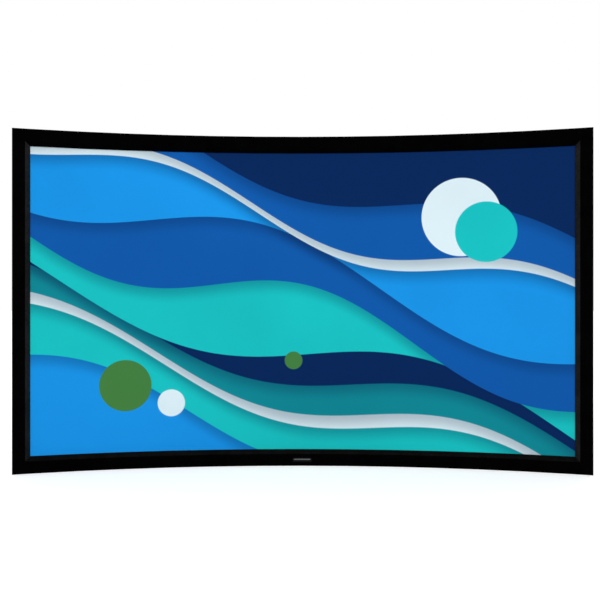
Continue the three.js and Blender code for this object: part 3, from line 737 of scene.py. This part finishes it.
class SCREEN_OT_velvet(bpy.types.Operator):
    """Wraps each length of the frame in velvet"""

    bl_idname = "screen.velvet"
    bl_label = "Velvet wraps"

    def execute(self, context):
        roll = Roll()
        p, c = sizes(), colours()
        section = velvet_section(roll)
        # Copies of one velvet: the side and lower bevels carry painted light, and the top bevel
        # keeps the face's colour.
        finishes = {
            "top": velvet_finish("velvet_head", c.velvet_face),
            "bottom": velvet_finish("velvet_foot", c.velvet_foot),
            "side": velvet_finish("velvet_flank", c.velvet_side),
        }
        around = insets(section)
        last = roll.hem_half
        mitre = roll.half_width - last
        steps = range(1, p.facets * FACET_STEPS + 1)
        stops = [PILE_GAP, *[i * roll.facet / FACET_STEPS for i in steps]]
        stops += [last + share * mitre for share in MITRE_SHARES]
        heights = [share * roll.half_height for share in np.linspace(-1, 1, STILE_RINGS)]
        for end_name, end in ENDS:
            for side_name, side in SIDES:

                def on_rail(s, u, w):
                    lean = max(0.0, (s - last) / mitre) * (u - PILE_GAP)
                    return roll.point(side * (s + lean), w, end * (roll.half_height + u))

                where = f"{end_name}_{side_name}"
                rings = [[on_rail(s, u, w) for u, w in section] for s in stops]
                finish = finishes[end_name]
                velvet_wrap(where, rings, (around, stops), finish)
        for side_name, side in SIDES:

            def on_stile(z, u, w):
                z *= 1 + (u - PILE_GAP) / roll.half_height
                return roll.point(side * (roll.half_width + u), w, z)

            where = f"side_{side_name}"
            rings = [[on_stile(z, u, w) for u, w in section] for z in heights]
            finish = finishes["side"]
            velvet_wrap(where, rings, (around, heights), finish)
        return {"FINISHED"}


# Sheet, hems, rods and clips


# The weld that closes a hem: where it starts behind the sheet's hidden margin, and its tapers
WELD_START = 1 * MM
WELD_TAPER = 1 * MM
WELD_LIP = 0.5 * MM

# Room between a clip and the hem that is cut away for it
NOTCH_MARGIN = 2 * MM

# The sheet follows the true arc, and passes into the facets of its hems over this height.
ROUND_FADE = 0.12

# Steps of the mesh: across a facet, up the sheet, and round a hem, a rod, a clip's jaw and bend
FACET_STRIPS = 8
PANEL_ROWS = 41
HEM_STEPS = 14
ROD_SIDES = 16
JAW_STEPS = 12
BEND_STEPS = 4

# Gap between a rod's end and its neighbour
ROD_GAP = 0.4 * MM

# A clip: its reach past the rod to the rib, its finger, its play on the rod and its eased ends
CLIP_REACH = 11 * MM
CLIP_FINGER = 6 * MM
FINGER_CHAMFER = 0.6 * MM
FINGER_LEAD = 0.4 * MM
CLIP_BEND = 1.2 * MM
CLIP_PLAY = 0.15 * MM
CLIP_EASE = 0.7 * MM

# Angles round the rod, from the side of the rib: where the arm meets the jaw, and the jaw's end
JAW_ROOT = math.radians(50)
JAW_END = math.radians(215)


def clip_places(run, pitch):
    """Even places along a run, about a pitch apart."""
    count = max(1, round(run / pitch))
    return [(i + 0.5) * run / count for i in range(count)]


def cuts(roll, start, end):
    """Places from start to end, with the facets' ends and middles between them."""
    step = roll.facet / 2
    last = math.ceil(max(-start, end) / step)
    inside = [k * step for k in range(-last, last + 1)]
    return [start, *[t for t in inside if start + MM < t < end - MM], end]


def edges(roll):
    """Yields each edge of the sheet as (name, half length, clip places, place).

    place(inset, depth, along) gives a point of the edge's section.
    """
    pitch = sizes().clip_pitch
    half = roll.hem_half
    for name, end in ENDS:

        def place(u, w, t):
            return roll.point(t, w, end * (roll.half_height + u))

        yield name, half, clip_places(half, pitch), place
    half = roll.half_height - sizes().hem_set_back
    for name, side in SIDES:

        def place(u, w, t):
            return roll.point(side * (roll.half_width + u), w, t)

        yield name, half, clip_places(half, pitch), place


def hem_lines(roll):
    """Sections of the hem: the part that is left at a clip, and the loop between clips."""
    p = sizes()
    half = p.sheet / 2
    front, back = roll.sheet_front, roll.sheet_back
    weld_start = p.sheet_margin + WELD_START
    weld_end = weld_start + p.hem_weld
    notch = p.rod_inset - p.rod / 2 - p.clip_wall - NOTCH_MARGIN
    root = [
        (p.sheet_margin, front),
        (notch, front),
        (notch, back),
        (weld_end + WELD_TAPER, back),
        (weld_end, back + p.sheet),
        (weld_start, back + p.sheet),
        (weld_start - WELD_LIP, back),
        (p.sheet_margin, back),
    ]
    centre = (p.rod_inset, roll.rod_depth)
    middle = p.rod / 2 + p.hem_slack + half
    start = (weld_end, back + half)
    away = Vector(start) - Vector(centre)
    touch = math.atan2(away.y, away.x) % math.tau - math.acos(middle / away.length)
    turn = arc(centre, middle, -math.pi / 2, touch, HEM_STEPS)
    line = [Vector(point) for point in ((notch, front + half), *turn, start)]
    outer, inner = [], []
    for point, before, after in zip(line, line[:1] + line, line[1:] + line[-1:]):
        run = (after - before).normalized()
        across = Vector((run.y, -run.x)) * half
        outer.append(tuple(point + across))
        inner.append(tuple(point - across))
    return root, outer + inner[::-1]


def sheet_panel(roll, picture, backing):
    """The sheet itself: the projected picture, as painted light, in front, the backing behind, and
    a rim round it.
    """
    p = sizes()
    width = roll.half_width + p.sheet_margin
    height = roll.half_height + p.sheet_margin
    strips = range(p.facets * FACET_STRIPS + 1)
    across = mirrored([i * roll.facet / FACET_STRIPS for i in strips] + [width])
    up = [height * math.sin(math.pi / 2 * t) for t in np.linspace(-1, 1, PANEL_ROWS)]

    def row(z, depth):
        share = max(0.0, min(1.0, (roll.half_height - abs(z)) / ROUND_FADE))
        share = share * share * (3 - 2 * share)
        return [roll.point(s, depth, z, share) for s in across]

    def mapped(values, half):
        return [(value + half) / (2 * half) for value in values]

    def border(rows):
        right = [row[-1] for row in rows]
        left = [row[0] for row in rows]
        return [rows[0], right, rows[-1][::-1], left[::-1]]

    build = Builder("sheet_panel")
    opening = (mapped(across, roll.half_width), mapped(up, roll.half_height))
    front = build.sweep([row(z, roll.sheet_front) for z in up], opening, closed=False)
    backs = [row(z, roll.sheet_back) for z in up]
    back = build.sweep(backs, (across, up), closed=False, material=1)
    for edge, other in zip(border(front), border(back)):
        for j in range(len(edge) - 1):
            face = build.bm.faces.new((edge[j], edge[j + 1], other[j + 1], other[j]))
            face.material_index = 1
    return build.piece("sheet", picture, backing)


def sheet_hem(roll, backing, name, half, clips, place):
    """One hem: its root all along, and its loop between the clips."""
    root, loop = hem_lines(roll)
    build = Builder(f"sheet_hem_{name}")
    notch = sizes().clip_width / 2 + NOTCH_MARGIN

    def run(section, start, end):
        along = cuts(roll, start, end)
        rings = [[place(u, w, t) for u, w in section] for t in along]
        build.sweep(rings, (insets(section), along))

    run(root, -half, half)
    middles = sorted([-t for t in clips] + clips)
    starts = [-half] + [t + notch for t in middles]
    finishes = [t - notch for t in middles] + [half]
    for start, end in zip(starts, finishes):
        run(loop, start, end)
    return build.piece("sheet", backing)


class SCREEN_OT_sheet(bpy.types.Operator):
    """Stretches the sheet, with the projected picture painted on it as painted light, and folds its
    hems round the rods
    """

    bl_idname = "screen.sheet"
    bl_label = "Sheet and hems"

    def execute(self, context):
        roll = Roll()
        picture, backing = painted_projection_finish(), backing_finish()
        panel = sheet_panel(roll, picture, backing)
        hems = [sheet_hem(roll, backing, *edge) for edge in edges(roll)]
        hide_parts("screen_sheet")
        return {"FINISHED"}


def clip_section(roll):
    """The clip's outline: a jaw round the rod, an arm, and a finger over the frame's rib."""
    p = sizes()
    centre = (p.rod_inset, roll.rod_depth)
    jaw = p.rod / 2 + p.clip_wall
    grip = p.rod / 2 + CLIP_PLAY
    arm_front = roll.rod_depth + p.rod / 2 + p.fit_gap
    arm_back = arm_front + p.clip_wall
    finger = p.rod_inset + p.rod / 2 + CLIP_REACH + p.wall + p.fit_gap
    outside = finger + p.clip_wall
    tip = arm_front - CLIP_FINGER
    bend = (outside - CLIP_BEND, arm_back - CLIP_BEND)
    return [
        *arc(centre, jaw, JAW_END, math.pi / 2, JAW_STEPS),
        (p.rod_inset + jaw, arm_back),
        *arc(bend, CLIP_BEND, math.pi / 2, 0, BEND_STEPS),
        (outside, tip + FINGER_CHAMFER),
        (outside - FINGER_CHAMFER, tip),
        (finger + FINGER_LEAD, tip),
        (finger, tip + FINGER_CHAMFER),
        (finger, arm_front),
        (p.rod_inset + jaw, arm_front),
        *arc(centre, grip, JAW_ROOT, JAW_END, JAW_STEPS),
    ]


def shrunk(section, distance):
    """The outline moved inwards by a small distance."""
    if distance <= 0:
        return section
    points = [Vector(p) for p in section]
    area = sum(a.x * b.y - a.y * b.x for a, b in zip(points, points[1:] + points[:1]))
    out = []
    for i, p in enumerate(points):
        before, after = points[i - 1], points[(i + 1) % len(points)]
        run = (after - before).normalized()
        normal = Vector((-run.y, run.x)) if area > 0 else Vector((run.y, -run.x))
        out.append(tuple(p + normal * distance))
    return out


def clip_point(roll, name, u, w, t, offset):
    """A point of the clip at t along an edge, where offset is the place across the clip."""
    if name in ("left", "right"):
        side = dict(SIDES)[name]
        return roll.point(side * (roll.half_width + u), w, t + offset)
    end = dict(ENDS)[name]
    return roll.turned(t, offset, w, end * (roll.half_height + u))


def rod_clips(roll, name, places, moulded):
    """All clips of one edge, each with eased ends."""
    section = clip_section(roll)
    half = sizes().clip_width / 2
    slices = (
        (-half, CLIP_EASE),
        (CLIP_EASE - half, 0),
        (half - CLIP_EASE, 0),
        (half, CLIP_EASE),
    )
    build = Builder(f"clips_{name}")
    for t in [-t for t in places] + places:
        rings = []
        for offset, inset in slices:
            shape = shrunk(section, inset)
            rings.append([clip_point(roll, name, u, w, t, offset) for u, w in shape])
        build.sweep(rings)
    return build.piece("rod", moulded)


class SCREEN_OT_rods(bpy.types.Operator):
    """Puts a rod in each hem and clips on the rods"""

    bl_idname = "screen.rods"
    bl_label = "Rods and clips"

    def execute(self, context):
        roll = Roll()
        p, c = sizes(), colours()
        fibre = fibre_finish()
        moulded = plastic_finish("clip_plastic", c.clip)
        turn = math.tau * (ROD_SIDES - 1) / ROD_SIDES
        circle = arc((p.rod_inset, roll.rod_depth), p.rod / 2, 0, turn, ROD_SIDES - 1)
        around = [i * p.rod * math.pi / ROD_SIDES for i in range(ROD_SIDES + 1)]
        for name, half, clips, place in edges(roll):
            end = half - ROD_GAP
            spans = [(-end, end)]
            nodes = [f"rod_side_{name}"]
            if name in ("top", "bottom"):
                spans = [(-end, -ROD_GAP), (ROD_GAP, end)]
                nodes = [f"rod_{name}_{side}" for side, _ in SIDES]
            build = Builder(f"rod_{name}")
            for span in spans:
                along = cuts(roll, *span)
                rings = [[place(u, w, t) for u, w in circle] for t in along]
                build.sweep(rings, (around, along))
            rod = build.piece("rod", fibre)
            clip = rod_clips(roll, name, clips, moulded)
            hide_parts(*nodes)
            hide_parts(*nodes)
        return {"FINISHED"}


# Fasteners in the brackets


# Screws along a bracket's leg: the leg's length, the first from its end, and the next
BRACKET_LEG = 110 * MM
SCREW_INBOARD = 22 * MM
SCREW_PITCH = 45 * MM

# A set screw, and how far it is sunk and reaches into the channel
SET_SCREW_STEEL = (0.1, 0.1, 0.105)
SCREW_RADIUS = 2.5 * MM
SCREW_SIDES = 18
SCREW_EASE = 0.4 * MM
SCREW_SUNK = 1.2 * MM
SCREW_REACH = 11 * MM
POINT_SHARE = 0.6
POINT_HEIGHT = 0.8 * MM
SOCKET_RADIUS = 1.25 * MM
SOCKET_TAPER = 0.98
SOCKET_DEPTH = 2 * MM
SOCKET_TIP = 2.6 * MM


def set_screws(roll, name, places, steel):
    """One piece of set screws, each with a point at its foot and a socket in its top."""
    p = sizes()
    top = p.frame_depth - SCREW_SUNK
    foot = p.frame_depth - p.wall - SCREW_REACH
    profile = [
        (0, foot),
        (SCREW_RADIUS * POINT_SHARE, foot),
        (SCREW_RADIUS, foot + POINT_HEIGHT),
        (SCREW_RADIUS, top - SCREW_EASE),
        (SCREW_RADIUS - SCREW_EASE, top),
        (SOCKET_RADIUS, top),
        (SOCKET_RADIUS * SOCKET_TAPER, top - SOCKET_DEPTH),
        (0, top - SOCKET_TIP),
    ]
    build = Builder(name)
    for s, z in places:

        def place(x, depth, up):
            return roll.turned(s, x, depth, z + up)

        build.revolve(profile, place, SCREW_SIDES)
    build.piece("steel", steel)


class SCREEN_OT_bracket_screws(bpy.types.Operator):
    """Adds the set screws that lock the corner brackets and splice bars in their channels"""

    bl_idname = "screen.bracket_screws"
    bl_label = "Set screws"

    def execute(self, context):
        roll = Roll()
        steel = brushed_finish("set_screw_steel", SET_SCREW_STEEL, 1, rough=(0.3, 0.45))
        low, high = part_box("splice_bar_top")
        channel = (low.z + high.z) / 2 - MID_HEIGHT - roll.half_height
        last = high.x - SCREW_INBOARD
        for end_name, end in ENDS:
            for side_name, side in SIDES:
                low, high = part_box(f"corner_bracket_{end_name}_{side_name}")
                reach = high.z - MID_HEIGHT if end > 0 else MID_HEIGHT - low.z
                first = reach - roll.half_height - BRACKET_LEG + SCREW_INBOARD
                near = (first, first + SCREW_PITCH)
                spots = [(d, channel) for d in near] + [(channel, d) for d in near]
                places = [
                    (side * (roll.half_width + x), end * (roll.half_height + z)) for x, z in spots
                ]
                set_screws(roll, f"bracket_screws_{end_name}_{side_name}", places, steel)
            z = end * (roll.half_height + channel)
            places = [(s, z) for s in (-last, SCREW_PITCH - last, last - SCREW_PITCH, last)]
            set_screws(roll, f"splice_screws_{end_name}", places, steel)
        return {"FINISHED"}


# Badge


# The plate's face before the frame's, and the bar on it
PLATE_FACE = -1.5 * MM
BAR_LIFT = 2.5 * MM
BAR_HALF = 42 * MM
BAR_RADIUS = 2.6 * MM
BAR_RISE = 0.3 * MM
BAR_EASE = 0.15 * MM
BAR_BENDS = np.linspace(0.05, math.pi / 2, 8)


class SCREEN_OT_badge(bpy.types.Operator):
    """Puts a plain raised bar with round ends on the badge plate"""

    bl_idname = "screen.badge"
    bl_label = "Badge"

    def execute(self, context):
        roll = Roll()
        low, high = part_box("badge_plate")
        middle = (low.z + high.z) / 2 - MID_HEIGHT + BAR_LIFT
        straight = BAR_HALF - BAR_RADIUS
        stops = [straight + BAR_RADIUS * math.cos(a) for a in BAR_BENDS]
        face = PLATE_FACE - BAR_RISE
        rings = []
        for s in mirrored([0.0] + stops[::-1]):
            past = max(0.0, abs(s) - straight)
            h = math.sqrt(max(BAR_RADIUS * BAR_RADIUS - past * past, 0.0))
            soft = min(BAR_EASE, h / 2)
            section = [
                (-h, PLATE_FACE),
                (-h, face + soft),
                (-h + soft, face),
                (h - soft, face),
                (h, face + soft),
                (h, PLATE_FACE),
            ]
            rings.append([roll.point(s, depth, middle + up) for up, depth in section])
        build = Builder("badge_bar")
        build.sweep(rings)
        build.piece("badge", brushed_finish("badge_bar", colours().bar_mark, 0, 0.3, (0.4, 0.55)))
        return {"FINISHED"}


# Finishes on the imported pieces


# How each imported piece's name starts, its finish, and the radius of its edges in millimetres
NODE_FINISHES = (
    (("rail_", "stile_"), "powder", 0.35),
    (("support_bar_",), "bar", 0.3),
    (("corner_bracket_", "splice_bar_", "hanger_", "standoff_", "wall_bracket_"), "zinc", 0.3),
    (("bar_screw_", "bar_nut_"), "zinc", 0.25),
    (("wall_pad_",), "rubber", 0.8),
    (("badge_plate",), "badge", 0.25),
)
CORNER_WELD = 0.01 * MM
EASED_ANGLE = math.radians(40)


def ease_edges(node, width):
    """Welds the node's corners and gives its edges a small radius."""
    weld = node.modifiers.new("weld", "WELD")
    weld.merge_threshold = CORNER_WELD
    bevel = node.modifiers.new("eased_edges", "BEVEL")
    bevel.width = width
    bevel.segments = 2
    bevel.limit_method = "ANGLE"
    bevel.angle_limit = EASED_ANGLE


class SCREEN_OT_metalwork(bpy.types.Operator):
    """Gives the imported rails, bars, brackets and fasteners their finish and eased edges"""

    bl_idname = "screen.metalwork"
    bl_label = "Metalwork"

    def execute(self, context):
        c = colours()
        finishes = {
            "powder": powder_finish(),
            "bar": brushed_finish("bar_aluminium", c.bar, 2),
            "zinc": zinc_finish(),
            "rubber": rubber_finish(),
            "badge": plastic_finish("badge_black", c.badge, 0.6, gloss=0.05),
        }
        for name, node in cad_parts.items():
            if node.hide_render:
                continue
            found = [(key, ease) for starts, key, ease in NODE_FINISHES if name.startswith(starts)]
            if not found:
                raise RuntimeError(f"{name} has no finish")
            key, ease = found[0]
            for slot in range(len(node.data.materials)):
                node.data.materials[slot] = finishes[key]
            if not node.data.materials:
                node.data.materials.append(finishes[key])
            ease_edges(node, ease * MM)
        return {"FINISHED"}


# Studio


# Pixels across the picture, the camera's sensor in millimetres, and how far it sees in metres
IMAGE_WIDTH = 600
SENSOR_WIDTH = 36
VIEW_END = 200

# Each lamp's name, place, size and power in watts
LAMPS = (
    ("key", (-2.6, -4.2, 4.6), 3.2, 115),
    ("fill", (3.4, -4.6, 2.6), 3.0, 75),
    ("rear_left", (-2.8, 3.6, 3.2), 2.6, 45),
    ("rear_right", (3.2, 3.2, 2.2), 2.4, 30),
)

# The floor just below the screen, and its glow: from and to which distance, and how strong there
FLOOR_REACH = 60
FLOOR_DROP = 0.5 * MM
FLOOR_TONE = (0.86, 0.86, 0.86)
FLOOR_GLOW = (1.5, 7.0, 0.4, 0.75)


def background_ray(nodes, links):
    """1 on the rays that meet the plain background: camera, glossy and transmission rays."""
    path = nodes.new("ShaderNodeLightPath")
    seen = path.outputs["Is Camera Ray"]
    for ray in ("Is Glossy Ray", "Is Transmission Ray"):
        either = nodes.new("ShaderNodeMath")
        either.operation = "MAXIMUM"
        links.new(seen, either.inputs[0])
        links.new(path.outputs[ray], either.inputs[1])
        seen = either.outputs[0]
    return seen


def studio_floor(scene):
    """A wide floor, which glows more with distance, and so fades into the surround."""
    bm = bmesh.new()
    bmesh.ops.create_grid(bm, x_segments=1, y_segments=1, size=FLOOR_REACH)
    mesh = bpy.data.meshes.new("studio_floor")
    bm.to_mesh(mesh)
    bm.free()
    floor = bpy.data.objects.new("studio_floor", mesh)
    floor.location.z = -FLOOR_DROP
    scene.collection.objects.link(floor)
    finish = Finish("studio_floor")
    finish.set(Roughness=0.9, Specular_IOR_Level=0.1, Emission_Color=(1, 1, 1, 1))
    finish.colour(FLOOR_TONE)
    place = finish.node("ShaderNodeVectorMath", operation="LENGTH")
    finish.links.new(finish.coordinates(), place.inputs[0])
    glow = finish.map(place.outputs["Value"], *FLOOR_GLOW)
    seen = finish.math("MULTIPLY", background_ray(finish.nodes, finish.links), glow)
    finish.feed(seen, finish.shader.inputs["Emission Strength"])
    mesh.materials.append(finish.material)


def studio_surround(scene):
    """A plain white background that lights the screen more weakly than it shows."""
    world = bpy.data.worlds.new("studio_surround")
    world.use_nodes = True
    scene.world = world
    nodes, links = world.node_tree.nodes, world.node_tree.links
    background = nodes["Background"]
    background.inputs["Color"].default_value = (1, 1, 1, 1)
    strength = nodes.new("ShaderNodeMapRange")
    links.new(background_ray(nodes, links), strength.inputs[0])
    strength.inputs["To Min"].default_value = scene.screen_studio.ambient
    strength.inputs["To Max"].default_value = 1.0
    links.new(strength.outputs[0], background.inputs["Strength"])


def studio_lamp(scene, name, place, size, power):
    """A square lamp that points at the middle of the screen."""
    data = bpy.data.lights.new(name, "AREA")
    data.size = size
    data.energy = power
    lamp = bpy.data.objects.new(name, data)
    lamp.location = place
    towards = Vector((0, 0, MID_HEIGHT)) - Vector(place)
    lamp.rotation_euler = towards.to_track_quat("-Z", "Y").to_euler()
    scene.collection.objects.link(lamp)


def studio_camera(scene):
    """The camera in front of the screen, level with its middle."""
    studio = scene.screen_studio
    data = bpy.data.cameras.new("camera")
    data.lens = studio.lens
    data.sensor_width = SENSOR_WIDTH
    data.clip_end = VIEW_END
    data.shift_x = -studio.across / IMAGE_WIDTH
    data.shift_y = studio.down / IMAGE_WIDTH
    camera = bpy.data.objects.new("camera", data)
    camera.location = (0, CAD_BOX[0].y - studio.distance, MID_HEIGHT)
    camera.rotation_euler = (math.pi / 2, 0, studio.turn)
    scene.collection.objects.link(camera)
    scene.camera = camera


class SCREEN_OT_studio(bpy.types.Operator):
    """Sets up the floor, the light and the camera"""

    bl_idname = "screen.studio"
    bl_label = "Studio"

    def execute(self, context):
        scene = context.scene
        scene.view_settings.view_transform = "Standard"
        studio_floor(scene)
        studio_surround(scene)
        for lamp in LAMPS:
            studio_lamp(scene, *lamp)
        studio_camera(scene)
        return {"FINISHED"}


class SCREEN_PT_panel(bpy.types.Panel):
    """Lists the steps that dress the screen, and its settings"""

    bl_idname = "SCREEN_PT_panel"
    bl_label = "Projector screen"
    bl_space_type = "VIEW_3D"
    bl_region_type = "UI"
    bl_category = "Screen"

    def draw(self, context):
        for step in STEPS:
            self.layout.operator(step.bl_idname)
        for name, group in GROUPS:
            box = self.layout.box()
            for key in group.__annotations__:
                box.prop(getattr(context.scene, name), key)


STEPS = (
    SCREEN_OT_velvet,
    SCREEN_OT_sheet,
    SCREEN_OT_rods,
    SCREEN_OT_bracket_screws,
    SCREEN_OT_badge,
    SCREEN_OT_metalwork,
    SCREEN_OT_studio,
)
GROUPS = (
    ("screen_sizes", ScreenSizes),
    ("screen_colours", ScreenColours),
    ("screen_studio", ScreenStudio),
)


def register():
    for name, group in GROUPS:
        bpy.utils.register_class(group)
        setattr(bpy.types.Scene, name, PointerProperty(type=group))
    for item in (*STEPS, SCREEN_PT_panel):
        bpy.utils.register_class(item)


def unregister():
    for item in reversed((*STEPS, SCREEN_PT_panel)):
        bpy.utils.unregister_class(item)
    for name, group in reversed(GROUPS):
        delattr(bpy.types.Scene, name)
        bpy.utils.unregister_class(group)


def main():
    register()
    bpy.ops.screen.velvet()
    bpy.ops.screen.sheet()
    bpy.ops.screen.rods()
    bpy.ops.screen.bracket_screws()
    bpy.ops.screen.badge()
    bpy.ops.screen.metalwork()
    bpy.ops.screen.studio()


if __name__ == "__main__":
    main()
